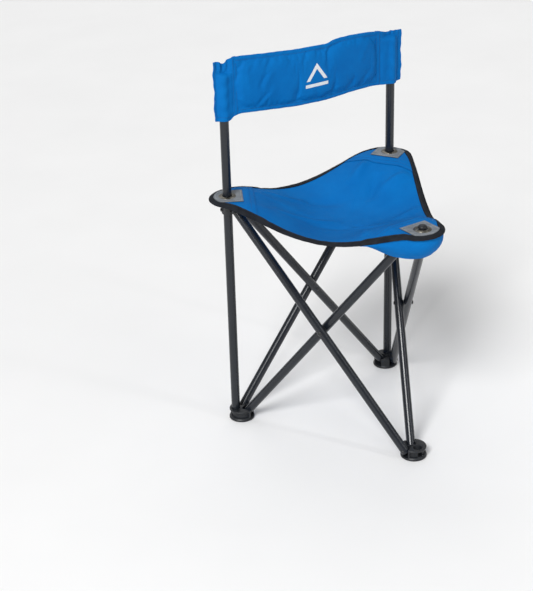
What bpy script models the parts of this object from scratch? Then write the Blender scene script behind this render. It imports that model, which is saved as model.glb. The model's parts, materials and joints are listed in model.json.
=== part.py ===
"""Folding tripod camp stool with a backrest.

Three moulded feet carry three scissor pairs of steel tube. Two rear posts stand in the
left and right feet, run up through sliding collars and hold the backrest sleeves. The
fabric seat hangs from a grommet on each collar and on the front hub.

Metres, +Z up, front towards -Y. The origin is on the floor under the middle of the
object's bounding box. The stool has threefold symmetry, so most pieces are drawn once
for the left corner and turned in steps of 120 degrees.
"""

import math

import bmesh
import bpy
from mathutils import Matrix, Vector

# Driving dimensions
SPACING = 0.4346  # between the vertical axes of two neighbouring corners
TUBE_R = 0.0095
TUBE_WALL = 0.0012
PIVOT_IN = 0.0264  # pivot distance from a corner's axis, along the side
SIDE_OFF = 0.0100  # each scissor tube's distance from its side's plane
FOOT_PIVOT_Z = 0.0179
TOP_PIVOT_Z = 0.5094
TUBE_END = 0.0070  # tube length beyond its end pivot
GAP = 0.0003  # clearance between touching pieces
POST_TOP = 0.7960
CAP_TOP = 0.0027
PLUG_DEPTH = 0.0100

# Feet, collars and front hub
DISC_R = 0.0282
DISC_IN = 0.0131  # disc centre, from the corner's axis towards the middle
FOOT_PLATE = 0.0050
FOOT_TOP = 0.0243
SOCKET_FLOOR = 0.0060
SLOT_START = 0.0140
SLOT_W = 0.0200
HUB_PLATE = 0.0034
HUB_TOP_Z = {"left": 0.5298, "right": 0.5298, "front": 0.5248}
COLLAR_HEIGHT = 0.0322
COLUMN_R = 0.0127
PEG_R = 0.0083
PEG_RISE = 0.0055  # front peg above the cloth
CAP_R = 0.0092
CAP_STEM_R = 0.0040
FOOT_BLOCK_R = 0.0274
HUB_BLOCK_R = 0.0245
HUB_PAST_PIVOT = 0.0085
MOULDED_EDGE = 0.0010
GROOVE_DEPTH = 0.0055
GROOVE_ARC = (math.radians(92), math.radians(274))
GROOVE_FROM_PLATE = 0.0025
GROOVE_FROM_TOP = 0.0040
CUT_PAST = 0.0150  # how far a cutter runs past what it cuts

# Rivets
PIN_R = 0.0023
HEAD_R = 0.0042
HEAD_H = 0.0016
MID_HEAD_R = 0.0055
MID_HEAD_H = 0.0030
LOW_HEAD_SHARE = 0.76
PIN_IN_BLOCK = 0.0135
PIN_IN_TUBE = 0.0116
PIN_HOLE = (-0.0180, 0.0120)
COLLAR_HEAD = (0.0048, 0.0032)  # radius and height
COLLAR_RIVET_DROP = 0.0030  # below the top pivots
COLLAR_RIVET_IN = 0.0020
WASHER_R = 0.0070
WASHER_T = 0.0004

# Seat
SEAT_ON_HUB = 0.0037  # top of the cloth above the top of a collar or the front hub
CLOTH = 0.0024
LAYER = 0.0010
LOBE_IN = 0.0170  # centre of a corner's rounded end, from the grommet towards the middle
LOBE_R = 0.0540
EDGE_OFF = {"back": 0.0600, "right": 0.0540, "left": 0.0560}  # mid-edge, outside the grommet line
EDGE_SAG = {"back": 0.0450, "right": 0.0460, "left": 0.0420}
CENTRE_SAG = 0.0680
FLAT_R = 0.0560  # the cloth is level this far from a grommet
BINDING = 0.0040
GROMMET_R = 0.0185
GROMMET_HOLE_R = 0.0103
GROMMET_WALL = 0.0010
GROMMET_FLANGE = 0.0007
GROMMET_ROLL = 0.0030
PATCH = 0.0600
PANEL_IN = 0.0520
PANEL_INSET = 0.0085
PATCH_PLAN = ((-0.62, -0.7), (-0.88, 0), (-0.62, 0.7), (1, 1), (1, -1))  # shares of its half side
TAPE = 0.0012
POCKET_RUN = 0.1500
POCKET_DEPTH = 0.0500
POCKET_DROP = 0.0030
POCKET_INSET = 0.0060
POCKET_TUCK = 0.30
POCKET_T = 0.0020

# Backrest
SLEEVE_Z = {"left": (0.7035, 0.8080), "right": (0.6945, 0.8080)}
FLAP_TOP_Z = {"left": 0.8280, "right": 0.8130}
FLAP_T = 0.0036
WEB_Y = (-0.0110, -0.0020)
SLEEVE_REACH = 0.0240  # from the post's axis to the pad
FLAP_REACH = 0.0215
SLEEVE_R = 0.0128
PAD_LOW_Z = (0.7090, 0.7010)  # at its left and right ends
PAD_HIGH_Z = (0.8280, 0.8210)
PAD_T = 0.0110
PAD_BOW = 0.0120
PAD_RIM = 0.0120

# Worked out from the above
ROOT3 = math.sqrt(3)
REACH = SPACING / ROOT3  # middle of the stool to a corner's axis
BACK_EDGE = REACH / 2 + EDGE_OFF["back"]
FRONT_EDGE = REACH + LOBE_R - LOBE_IN
MIDDLE = Vector((0, (FRONT_EDGE - BACK_EDGE) / 2, 0))
CORNERS = {"left": 0, "right": 1, "front": 2}
SIDES = {"back": 0, "right": 1, "left": 2}
SIDE_RUN = SPACING - 2 * PIVOT_IN
SIDE_RISE = TOP_PIVOT_Z - FOOT_PIVOT_Z
TUBE_RUN = math.hypot(SIDE_RUN, SIDE_RISE)
SEAT_Z = {corner: top + SEAT_ON_HUB for corner, top in HUB_TOP_Z.items()}
LEAN = math.atan2(SIDE_RUN, SIDE_RISE)
# From the left corner's axis towards the middle, in the left corner's own frame
RADIAL = Vector((math.cos(math.pi / 6), -math.sin(math.pi / 6), 0))

MATERIALS = {
    "tube": ((0.030, 0.033, 0.037), 0.32, 0.6),
    "plastic": ((0.012, 0.013, 0.015), 0.50, 0.0),
    "rivet": ((0.020, 0.021, 0.023), 0.35, 0.8),
    "nickel": ((0.45, 0.42, 0.36), 0.30, 1.0),
    "blue_cloth": ((0.006, 0.150, 0.520), 0.80, 0.0),
    "binding": ((0.026, 0.028, 0.034), 0.85, 0.0),
    "grey_patch": ((0.205, 0.225, 0.250), 0.85, 0.0),
}


def clear_scene():
    for obj in list(bpy.data.objects):
        bpy.data.objects.remove(obj, do_unlink=True)


def material(name):
    found = bpy.data.materials.get(name)
    if found:
        return found
    color, roughness, metallic = MATERIALS[name]
    made = bpy.data.materials.new(name)
    made.use_nodes = True
    shader = made.node_tree.nodes["Principled BSDF"]
    shader.inputs["Base Color"].default_value = (*color, 1.0)
    shader.inputs["Roughness"].default_value = roughness
    shader.inputs["Metallic"].default_value = metallic
    return made


def mesh_object(name, bm, finish=None, smooth=True):
    """Turns a bmesh into an object. Without a finish it is a cutter or another helper."""
    bmesh.ops.recalc_face_normals(bm, faces=bm.faces)
    mesh = bpy.data.meshes.new(name)
    bm.to_mesh(mesh)
    bm.free()
    obj = bpy.data.objects.new(name, mesh)
    bpy.context.scene.collection.objects.link(obj)
    if finish:
        mesh.materials.append(material(finish))
        if smooth:
            mesh.shade_smooth()
            mesh.set_sharp_from_angle(angle=math.radians(32))
    else:
        obj.hide_render = True
        obj.display_type = "WIRE"
    return obj


def boolean(obj, other, operation="DIFFERENCE", solver="EXACT"):
    modifier = obj.modifiers.new(other.name, "BOOLEAN")
    modifier.operation = operation
    modifier.solver = solver
    modifier.object = other


def turned(profile, segments=24):
    """Solid of revolution about Z of an (r, z) outline. Points at r = 0 close it on the axis."""
    bm = bmesh.new()
    rings = []
    for r, z in profile:
        if r == 0:
            rings.append([bm.verts.new((0, 0, z))])
            continue
        angles = [2 * math.pi * i / segments for i in range(segments)]
        rings.append([bm.verts.new((r * math.cos(a), r * math.sin(a), z)) for a in angles])
    closed = profile[0][0] != 0
    last = len(rings) if closed else len(rings) - 1
    for i in range(last):
        lower = rings[i]
        upper = rings[(i + 1) % len(rings)]
        for j in range(segments):
            k = (j + 1) % segments
            corners = [lower[j % len(lower)], lower[k % len(lower)]]
            corners += [upper[k % len(upper)], upper[j % len(upper)]]
            bm.faces.new(list(dict.fromkeys(corners)))
    return bm


def rod(radius, low, high, segments=24, place=None):
    bm = turned([(0, low), (radius, low), (radius, high), (0, high)], segments)
    if place:
        bm.transform(place)
    return bm


def block(x, y, z, place=None):
    """Box between pairs of limits along each axis."""
    bm = bmesh.new()
    bmesh.ops.create_cube(bm, size=1)
    size = Matrix.Diagonal((x[1] - x[0], y[1] - y[0], z[1] - z[0], 1))
    centre = Vector((sum(x) / 2, sum(y) / 2, sum(z) / 2))
    bm.transform(Matrix.Translation(centre) @ size)
    if place:
        bm.transform(place)
    return bm


def turn(degrees):
    return Matrix.Rotation(math.radians(degrees), 4, "Z")


def corner_place(corner):
    """From the left corner's own frame, with its axis at the origin, to that corner's place."""
    at_left = Matrix.Translation((-SPACING / 2, REACH / 2, 0))
    return Matrix.Translation(MIDDLE) @ turn(-120 * CORNERS[corner]) @ at_left


def side_place(side):
    """From the back side's frame, X along it and Y outward, to that side's place."""
    out = Matrix.Translation((0, REACH / 2, 0))
    return Matrix.Translation(MIDDLE) @ turn(-120 * SIDES[side]) @ out


def flip_up(corner):
    """A foot turned over about its radial axis, to sit at the top of the legs."""
    return Matrix.Translation((0, 0, HUB_TOP_Z[corner])) @ Matrix.Rotation(math.pi, 4, RADIAL)


def slots(name, low, high):
    """Two cutters for a corner's tube ends: outside one side's plane, inside the other's."""
    far = 2 * DISC_R
    outer = block((SLOT_START, far), (0, far), (low, high))
    inner = block((SLOT_START, far), (0, SLOT_W), (low, high), turn(-60))
    return [mesh_object(name + "_outer_slot", outer), mesh_object(name + "_inner_slot", inner)]


def pin_frame(inner, pivot_z):
    """Frame of a foot's rivet: origin on the pivot and +Z along the rivet, away from the block."""
    lay = Matrix.Rotation(-math.pi / 2, 4, "X")
    side = turn(-60 if inner else 0)
    return side @ Matrix.Translation((PIVOT_IN, SIDE_OFF, pivot_z)) @ lay


def groove_cutter(name, inner_r, low, high):
    """Arc-shaped cutter for the groove round the outer half of a foot, between its slots."""
    start, end = GROOVE_ARC
    steps = 20
    outer_r = inner_r + CUT_PAST
    loops = []
    for i in range(steps + 1):
        angle = start + (end - start) * i / steps
        way = Vector((math.cos(angle), math.sin(angle), 0))
        loops.append(
            [
                way * inner_r + Vector((0, 0, low)),
                way * outer_r + Vector((0, 0, low)),
                way * outer_r + Vector((0, 0, high)),
                way * inner_r + Vector((0, 0, high)),
            ]
        )
    bm = shell(loops, False)
    bm.transform(Matrix.Translation(DISC_IN * RADIAL))
    return mesh_object(name + "_groove", bm)


def corner_block(name, sizes, place):
    """Moulded corner piece: a round plate and a block with two tube slots.

    sizes is plate thickness, block height, block radius, pivot height, bore start, bore end
    and groove depth, all measured up from the plate's face.
    """
    plate, height, radius, pivot, bore_low, bore_high, groove = sizes
    edge = MOULDED_EDGE
    solver = "EXACT" if groove else "MANIFOLD"
    body = turned(
        [
            (0, 0),
            (DISC_R - edge, 0),
            (DISC_R, edge),
            (DISC_R, plate - edge),
            (DISC_R - edge, plate),
            (radius - edge, plate + edge),
            (radius, height - edge),
            (radius - edge, height),
            (0, height),
        ],
        36,
    )
    body.transform(Matrix.Translation(DISC_IN * RADIAL))
    obj = mesh_object(name, body, "plastic")
    cutters = slots(name, plate - GAP / 2, height + CUT_PAST)
    if groove:
        limits = (plate + GROOVE_FROM_PLATE, height - GROOVE_FROM_TOP)
        cutters.append(groove_cutter(name, radius - groove, *limits))
    if bore_high > bore_low:
        cutters.append(mesh_object(name + "_bore", rod(TUBE_R + GAP, bore_low, bore_high)))
    for inner in (False, True):
        hole = rod(PIN_R + GAP, *PIN_HOLE, 10, pin_frame(inner, pivot))
        cutters.append(mesh_object(f"{name}_pin_hole_{int(inner)}", hole))
    if name != "front_hub" and not groove:
        column = turned(
            [
                (TUBE_R + GAP / 2, height / 2),
                (COLUMN_R, height / 2),
                (COLUMN_R, COLLAR_HEIGHT - edge),
                (COLUMN_R - edge, COLLAR_HEIGHT),
                (TUBE_R + GAP / 2, COLLAR_HEIGHT),
            ]
        )
        boolean(obj, mesh_object(name + "_column", column), "UNION", solver)
    for cutter in cutters:
        boolean(obj, cutter, solver=solver)
    for piece in [obj] + [modifier.object for modifier in obj.modifiers]:
        piece.data.transform(place)
    return obj


def make_feet():
    top = FOOT_TOP + CUT_PAST
    sizes = (FOOT_PLATE, FOOT_TOP, FOOT_BLOCK_R, FOOT_PIVOT_Z, SOCKET_FLOOR, top, GROOVE_DEPTH)
    for corner in CORNERS:
        corner_block(f"{corner}_foot", sizes, corner_place(corner))


def hub_sizes(corner, bore_low, bore_high):
    pivot = HUB_TOP_Z[corner] - TOP_PIVOT_Z
    return (HUB_PLATE, pivot + HUB_PAST_PIVOT, HUB_BLOCK_R, pivot, bore_low, bore_high, 0)


def make_collars():
    for corner in ("left", "right"):
        place = corner_place(corner) @ flip_up(corner)
        sizes = hub_sizes(corner, -CUT_PAST, COLLAR_HEIGHT + CUT_PAST)
        obj = corner_block(f"{corner}_collar", sizes, place)
        start = COLUMN_R - COLLAR_RIVET_IN
        hole = rod(PIN_R + GAP, start, COLUMN_R + CUT_PAST, 10, collar_rivet_frame(corner))
        boolean(obj, mesh_object(f"{corner}_collar_rivet_hole", hole), solver="MANIFOLD")


def make_front_hub():
    """The front corner has no post: a peg through the grommet takes a push-on cap."""
    place = corner_place("front")
    seat_z = SEAT_Z["front"]
    hub = corner_block("front_hub", hub_sizes("front", 0, 0), place @ flip_up("front"))
    peg = rod(PEG_R, HUB_TOP_Z["front"] - HUB_PLATE / 2, seat_z + PEG_RISE, 24, place)
    boolean(hub, mesh_object("front_peg", peg), "UNION", "MANIFOLD")
    socket = rod(CAP_STEM_R + GAP, seat_z - 1.5 * CAP_STEM_R, seat_z + CUT_PAST, 16, place)
    boolean(hub, mesh_object("front_peg_socket", socket), solver="MANIFOLD")


def collar_rivet_frame(corner):
    """+Z points outward from the collar, away from the middle of the stool."""
    out = Matrix.Translation((0, 0, TOP_PIVOT_Z - COLLAR_RIVET_DROP)) @ turn(150)
    return corner_place(corner) @ out @ Matrix.Rotation(math.pi / 2, 4, "Y")


def make_collar_rivets():
    inner = COLUMN_R - COLLAR_RIVET_IN + GAP
    seat = COLUMN_R + GAP
    for corner in ("left", "right"):
        bm = turned(dome_profile(inner, seat, *COLLAR_HEAD), 12)
        bm.transform(collar_rivet_frame(corner))
        mesh_object(f"{corner}_collar_rivet", bm, "rivet")


def dome_profile(low, high, head_r, head_h):
    """Shank from low to high with a domed head on its upper end."""
    steps = 3
    dome = []
    for i in range(steps):
        angle = math.pi / 2 * i / steps
        dome.append((head_r * math.cos(angle), high + head_h * math.sin(angle)))
    return [(0, low), (PIN_R, low), (PIN_R, high)] + dome + [(0, high + head_h)]


def two_head_profile(half, head_r, low_h, high_h):
    upper = dome_profile(0, half, head_r, high_h)[2:]
    lower = [(r, -z) for r, z in dome_profile(0, half, head_r * LOW_HEAD_SHARE, low_h)[2:]]
    return lower[::-1] + upper


def make_post(corner):
    bore_r = TUBE_R - TUBE_WALL
    low = SOCKET_FLOOR + GAP
    profile = [(bore_r, low), (TUBE_R, low), (TUBE_R, POST_TOP), (bore_r, POST_TOP)]
    bm = turned(profile)
    bm.transform(corner_place(corner))
    mesh_object(f"{corner}_post", bm, "tube")
    plug_r = bore_r - GAP
    cap_low = POST_TOP + GAP
    cap = turned(
        [
            (0, cap_low - PLUG_DEPTH),
            (plug_r, cap_low - PLUG_DEPTH),
            (plug_r, cap_low),
            (TUBE_R, cap_low),
            (TUBE_R, cap_low + CAP_TOP / 2),
            (TUBE_R - CAP_TOP / 2, cap_low + CAP_TOP),
            (0, cap_low + CAP_TOP),
        ]
    )
    cap.transform(corner_place(corner))
    mesh_object(f"{corner}_post_cap", cap, "plastic")


def tube_frame(side, outer):
    """Frame of a scissor tube: origin at its foot pivot, +Z up along the tube, +Y outward."""
    sign = 1 if outer else -1
    start = Matrix.Translation((-sign * SIDE_RUN / 2, sign * SIDE_OFF, FOOT_PIVOT_Z))
    return side_place(side) @ start @ Matrix.Rotation(sign * LEAN, 4, "Y")


def make_scissor_tube(side, outer):
    which = "outer" if outer else "inner"
    frame = tube_frame(side, outer)
    bore_r = TUBE_R - TUBE_WALL
    low = -TUBE_END
    high = TUBE_RUN + TUBE_END
    bm = turned([(bore_r, low), (TUBE_R, low), (TUBE_R, high), (bore_r, high)])
    obj = mesh_object(f"{side}_{which}_tube", bm, "tube")
    across = Matrix.Rotation(math.pi / 2, 4, "X")
    for i, height in enumerate((0, TUBE_RUN / 2, TUBE_RUN)):
        place = Matrix.Translation((0, 0, height)) @ across
        drill = rod(PIN_R + GAP, -CUT_PAST, CUT_PAST, 10, place)
        hole = mesh_object(f"{obj.name}_hole_{i}", drill)
        hole.parent = obj
        boolean(obj, hole)
    obj.matrix_world = frame


def make_mid_pins(side):
    """The rivet at the scissor's crossing and the washer between its tubes."""
    lay = Matrix.Rotation(-math.pi / 2, 4, "X")
    centre = Matrix.Translation((0, 0, (FOOT_PIVOT_Z + TOP_PIVOT_Z) / 2))
    place = side_place(side) @ centre @ lay
    half = SIDE_OFF + TUBE_R + GAP
    bm = turned(two_head_profile(half, MID_HEAD_R, HEAD_H, MID_HEAD_H), 14)
    mesh_object(f"{side}_mid_rivet", bm, "rivet").matrix_world = place
    half = WASHER_T / 2
    hole_r = PIN_R + GAP
    ring = turned([(hole_r, -half), (WASHER_R, -half), (WASHER_R, half), (hole_r, half)], 14)
    mesh_object(f"{side}_mid_washer", ring, "plastic").matrix_world = place


def make_end_rivets(corner, level):
    """Rivets that hold the two tube ends at a corner, at foot or top level."""
    if level == "foot":
        place, pivot = corner_place(corner), FOOT_PIVOT_Z
    else:
        place, pivot = corner_place(corner) @ flip_up(corner), HUB_TOP_Z[corner] - TOP_PIVOT_Z
    next_side = {"left": "back", "right": "right", "front": "left"}[corner]
    last_side = {"left": "left", "right": "back", "front": "right"}[corner]
    for inner in (False, True):
        if level == "foot":
            side = last_side if inner else next_side
        else:
            side = next_side if inner else last_side
        which = "inner" if inner else "outer"
        if inner:
            bm = rod(PIN_R, -PIN_IN_BLOCK, PIN_IN_TUBE, 10)
        else:
            bm = turned(dome_profile(-TUBE_R - 0.0045, TUBE_R + GAP, HEAD_R, HEAD_H), 10)
        obj = mesh_object(f"{side}_{which}_{level}_rivet", bm, "rivet")
        obj.matrix_world = place @ pin_frame(inner, pivot)


def side_angle(side):
    return math.pi / 2 - math.radians(120 * SIDES[side])


def edge_point(side, t, inset=0.0):
    """Plan point of the seat's outline along one side, t from 0 to 1."""
    lobe = SPACING / 2 - LOBE_IN * math.cos(math.pi / 6)
    bulge = 4 * t * (1 - t)
    out = LOBE_R - LOBE_IN / 2 + (EDGE_OFF[side] - LOBE_R + LOBE_IN / 2) * bulge
    return turn(-120 * SIDES[side]) @ Vector((lobe * (2 * t - 1), REACH / 2 + out - inset, 0))


def seat_outline(inset, edge_steps=10, lobe_steps=8):
    """The seat's edge in plan, clockwise from the left corner, about the stool's middle."""
    points = []
    for side, corner in (("back", "right"), ("right", "front"), ("left", "left")):
        for i in range(edge_steps):
            points.append(edge_point(side, i / edge_steps, inset))
        centre = turn(-120 * CORNERS[corner]) @ Vector((-SPACING / 2, REACH / 2, 0))
        centre = centre * (1 - LOBE_IN / REACH)
        start = side_angle(side)
        for i in range(lobe_steps):
            angle = start - math.radians(120) * i / lobe_steps
            reach = LOBE_R - inset
            points.append(centre + reach * Vector((math.cos(angle), math.sin(angle), 0)))
    return points


def smooth(low, high, value):
    t = min(1.0, max(0.0, (value - low) / (high - low)))
    return t * t * (3 - 2 * t)


def edge_sag(angle):
    """Sag of the seat's edge seen from the middle at this angle, blended between the sides."""
    total = 0.0
    weights = 0.0
    for side in SIDES:
        weight = max(0.0, math.cos(angle - side_angle(side))) ** 3 + 1e-6
        total += weight * EDGE_SAG[side]
        weights += weight
    return total / weights


def seat_height(point, fraction):
    """Top of the cloth at a plan point whose distance to the edge is this fraction of the way."""
    angle = math.atan2(point.y, point.x)
    bowl = CENTRE_SAG + (edge_sag(angle) - CENTRE_SAG) * fraction**1.6
    nearest = REACH
    for corner in CORNERS.values():
        grommet = turn(-120 * corner) @ Vector((-SPACING / 2, REACH / 2, 0))
        nearest = min(nearest, (point - grommet).length)
    rear = smooth(FLAT_R - REACH, REACH / 2 - FLAT_R, point.y)
    base = SEAT_Z["front"] + (SEAT_Z["left"] - SEAT_Z["front"]) * rear
    return base - bowl * smooth(FLAT_R, REACH * 0.80, nearest)


def shell(columns, closed):
    """Closed solid from rows of section loops: one loop of points per station."""
    bm = bmesh.new()
    rings = [[bm.verts.new(point) for point in loop] for loop in columns]
    count = len(rings[0])
    last = len(rings) if closed else len(rings) - 1
    for i in range(last):
        a = rings[i]
        b = rings[(i + 1) % len(rings)]
        for j in range(count):
            k = (j + 1) % count
            bm.faces.new((a[j], a[k], b[k], b[j]))
    if not closed:
        bm.faces.new(rings[0])
        bm.faces.new(rings[-1])
    return bm


def make_seat_panel():
    outline = seat_outline(BINDING)
    rings = 6
    bm = bmesh.new()
    layers = []
    for drop in (0, CLOTH):
        centre = Vector((0, 0, seat_height(Vector((0, 0, 0)), 0) - drop))
        rows = [[bm.verts.new(centre + MIDDLE)]]
        for i in range(1, rings + 1):
            fraction = i / rings
            row = []
            for edge in outline:
                flat = edge * fraction
                point = Vector((flat.x, flat.y, seat_height(flat, fraction) - drop))
                row.append(bm.verts.new(point + MIDDLE))
            rows.append(row)
        layers.append(rows)
    count = len(outline)
    for rows in layers:
        for j in range(count):
            k = (j + 1) % count
            bm.faces.new((rows[0][0], rows[1][j], rows[1][k]))
            for i in range(1, rings):
                bm.faces.new((rows[i][j], rows[i][k], rows[i + 1][k], rows[i + 1][j]))
    top, bottom = layers[0][-1], layers[1][-1]
    for j in range(count):
        k = (j + 1) % count
        bm.faces.new((top[j], top[k], bottom[k], bottom[j]))
    bmesh.ops.triangulate(bm, faces=bm.faces)
    obj = mesh_object("seat_panel", bm, "blue_cloth")
    for corner in CORNERS:
        hole_r = GROMMET_HOLE_R + GROMMET_WALL + GAP
        low, high = SEAT_Z[corner] - CUT_PAST, SEAT_Z[corner] + CUT_PAST
        hole = rod(hole_r, low, high, 24, corner_place(corner))
        boolean(obj, mesh_object(f"seat_hole_{corner}", hole), solver="MANIFOLD")


def make_binding():
    """Tape folded over the seat's edge, drawn as a solid strip just outside the cloth."""
    outer = seat_outline(0)
    inner = seat_outline(BINDING - GAP)
    loops = []
    for out, near in zip(outer, inner):
        z = seat_height(out, 1.0) - CLOTH / 2
        half = CLOTH / 2 + TAPE
        loops.append(
            [
                MIDDLE + Vector((near.x, near.y, z - half)),
                MIDDLE + Vector((out.x, out.y, z - half)),
                MIDDLE + Vector((out.x, out.y, z + half)),
                MIDDLE + Vector((near.x, near.y, z + half)),
            ]
        )
    mesh_object("seat_binding", shell(loops, True), "binding")


def layer_plate(name, outline, low, high, finish, corner):
    """Flat cloth layer on a corner with a hole for the grommet's barrel."""
    bm = bmesh.new()
    face = bm.faces.new([bm.verts.new((x, y, low)) for x, y in outline])
    grown = bmesh.ops.extrude_face_region(bm, geom=[face])
    moved = [item for item in grown["geom"] if isinstance(item, bmesh.types.BMVert)]
    bmesh.ops.translate(bm, verts=moved, vec=(0, 0, high - low))
    bm.transform(corner_place(corner))
    obj = mesh_object(name, bm, finish, smooth=False)
    hole_r = GROMMET_HOLE_R + GROMMET_WALL + GAP
    hole = rod(hole_r, low - CUT_PAST, high + CUT_PAST, 24, corner_place(corner))
    boolean(obj, mesh_object(f"{name}_hole", hole))


def lobe_outline(inset, end):
    """Plan of a corner of the seat, cut square to the radius at a distance past the grommet."""
    inward = RADIAL.xy
    across = Vector((inward.y, -inward.x))
    reach = LOBE_R - inset
    half_angle = math.radians(62)
    arc = [(-half_angle + 2 * half_angle * i / 16) for i in range(17)]
    points = [inward * (LOBE_IN - reach * math.cos(a)) + across * reach * math.sin(a) for a in arc]
    wide = reach * 1.02
    points.append(inward * end + across * wide)
    points.append(inward * end - across * wide)
    return [(p.x, p.y) for p in points]


def make_corner_layers(corner):
    """From the cloth up: the second cloth layer, the grey patch and the grommet through them."""
    low = SEAT_Z[corner] + GAP
    lobe = lobe_outline(PANEL_INSET, PANEL_IN)
    layer_plate(f"{corner}_corner_panel", lobe, low, low + LAYER, "blue_cloth", corner)
    low += LAYER + GAP
    inward = RADIAL.xy
    across = Vector((inward.y, -inward.x))
    half = PATCH / 2
    square = []
    for u, v in PATCH_PLAN:
        spot = inward * u * half + across * v * half
        square.append((spot.x, spot.y))
    layer_plate(f"{corner}_patch", square, low, low + LAYER, "grey_patch", corner)
    top = low + LAYER + GAP
    bottom = SEAT_Z[corner] - CLOTH - GAP
    flange = GROMMET_FLANGE
    barrel = GROMMET_HOLE_R + GROMMET_WALL
    ring = turned(
        [
            (GROMMET_HOLE_R, bottom - flange),
            (GROMMET_R - GROMMET_ROLL, bottom - flange),
            (GROMMET_R - GROMMET_ROLL, bottom),
            (barrel, bottom),
            (barrel, top),
            (GROMMET_R, top),
            (GROMMET_R, top + flange / 2),
            (GROMMET_R - GROMMET_ROLL, top + 2 * flange),
            (barrel, top + flange),
            (GROMMET_HOLE_R, top),
        ],
        24,
    )
    ring.transform(corner_place(corner))
    mesh_object(f"{corner}_grommet", ring, "nickel")


def make_front_cap():
    seat_z = SEAT_Z["front"]
    base = seat_z + PEG_RISE + GAP
    cap = turned(
        [
            (0, seat_z - CAP_STEM_R),
            (CAP_STEM_R, seat_z - CAP_STEM_R),
            (CAP_STEM_R, base),
            (CAP_R, base),
            (CAP_R, base + 0.0030),
            (CAP_R * 0.87, base + 0.0055),
            (CAP_R * 0.54, base + 0.0070),
            (0, base + 0.0075),
        ]
    )
    cap.transform(corner_place("front"))
    mesh_object("front_cap", cap, "plastic")


def make_front_pocket():
    """Cloth pocket that hangs under the front corner, wrapped around both its edges."""
    path = seat_outline(POCKET_INSET, 20, 10)
    tip = Vector((0, -FRONT_EDGE, 0))
    near = [p for p in path if (p - tip).length < POCKET_RUN]
    near.sort(key=lambda p: math.atan2(p.x, -p.y))
    loops = []
    for edge in near:
        away = min(1.0, (edge - tip).length / POCKET_RUN)
        depth = POCKET_DEPTH * (1 - smooth(0.45, 1.0, away)) + 0.0040
        top = seat_height(edge, 1.0) - CLOTH - POCKET_DROP
        inward = -edge.normalized()
        foot = edge + inward * POCKET_TUCK * depth
        thick = inward * POCKET_T
        loops.append(
            [
                MIDDLE + Vector((edge.x, edge.y, top)),
                MIDDLE + Vector((foot.x, foot.y, top - depth)),
                MIDDLE + Vector((foot.x, foot.y, top - depth)) + thick,
                MIDDLE + Vector((edge.x, edge.y, top)) + thick,
            ]
        )
    mesh_object("front_pocket", shell(loops, False), "blue_cloth")


def make_sleeve(corner):
    """Blind cloth sleeve over a post's top, with a seam flap outside and a web to the pad."""
    hand = -1 if corner == "left" else 1
    at_post = corner_place(corner).to_translation()
    place = Matrix.Translation(at_post)
    low, high = SLEEVE_Z[corner]
    obj = mesh_object(f"{corner}_sleeve", rod(SLEEVE_R, low, high, 24, place), "blue_cloth")
    flap_x = sorted((hand * FLAP_REACH, hand * TUBE_R))
    flap = block(flap_x, (-FLAP_T / 2, FLAP_T / 2), (low + 0.0010, FLAP_TOP_Z[corner]), place)
    boolean(obj, mesh_object(f"{corner}_sleeve_flap", flap), "UNION")
    web_x = sorted((-hand * TUBE_R, -hand * SLEEVE_REACH))
    web = block(web_x, WEB_Y, (low + 0.0015, high - 0.0010), place)
    boolean(obj, mesh_object(f"{corner}_sleeve_web", web), "UNION")
    bore = rod(TUBE_R + GAP, low - CUT_PAST, POST_TOP + CAP_TOP + 2 * GAP, 24, place)
    boolean(obj, mesh_object(f"{corner}_sleeve_bore", bore))


def make_backrest_pad():
    at_post = corner_place("left").to_translation()
    half = SPACING / 2 - SLEEVE_REACH - GAP
    steps = 16
    loops = []
    for i in range(steps + 1):
        x = -half + 2 * half * i / steps
        bow = PAD_BOW * (1 - (x / half) ** 2)
        y = at_post.y + sum(WEB_Y) / 2 - bow
        edge = smooth(0, 0.030, half - abs(x))
        fat = PAD_T * (0.55 + 0.45 * edge) / 2
        rim = PAD_T * 0.18
        share = i / steps
        low, high = (a + (b - a) * share for a, b in (PAD_LOW_Z, PAD_HIGH_Z))
        loops.append(
            [
                Vector((x, y - rim, low)),
                Vector((x, y + rim, low)),
                Vector((x, y + fat, low + PAD_RIM)),
                Vector((x, y + fat, high - PAD_RIM)),
                Vector((x, y + rim, high)),
                Vector((x, y - rim, high)),
                Vector((x, y - fat, high - PAD_RIM)),
                Vector((x, y - fat, low + PAD_RIM)),
            ]
        )
    mesh_object("backrest_pad", shell(loops, False), "blue_cloth")


def make_all():
    clear_scene()
    make_feet()
    make_collars()
    make_front_hub()
    make_collar_rivets()
    for corner in ("left", "right"):
        make_post(corner)
        make_sleeve(corner)
    for side in SIDES:
        for outer in (True, False):
            make_scissor_tube(side, outer)
        make_mid_pins(side)
    for corner in CORNERS:
        make_end_rivets(corner, "foot")
        make_end_rivets(corner, "top")
        make_corner_layers(corner)
    make_seat_panel()
    make_binding()
    make_front_cap()
    make_front_pocket()
    make_backrest_pad()


make_all()
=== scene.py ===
"""Looks of the folding tripod camp stool: cloth seat, padded backrest, tubes and moulded feet.

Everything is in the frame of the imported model: metres, +Z up, the sitter faces -Y. Places
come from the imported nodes' boxes. A corner's own plan frame has its origin at the grommet,
u towards the middle of the stool and v to the side of the next corner, going clockwise.
"""

import json
import math

import bmesh
import bpy
import numpy as np
from mathutils import Matrix, Vector, noise
from mathutils.bvhtree import BVHTree

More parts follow.
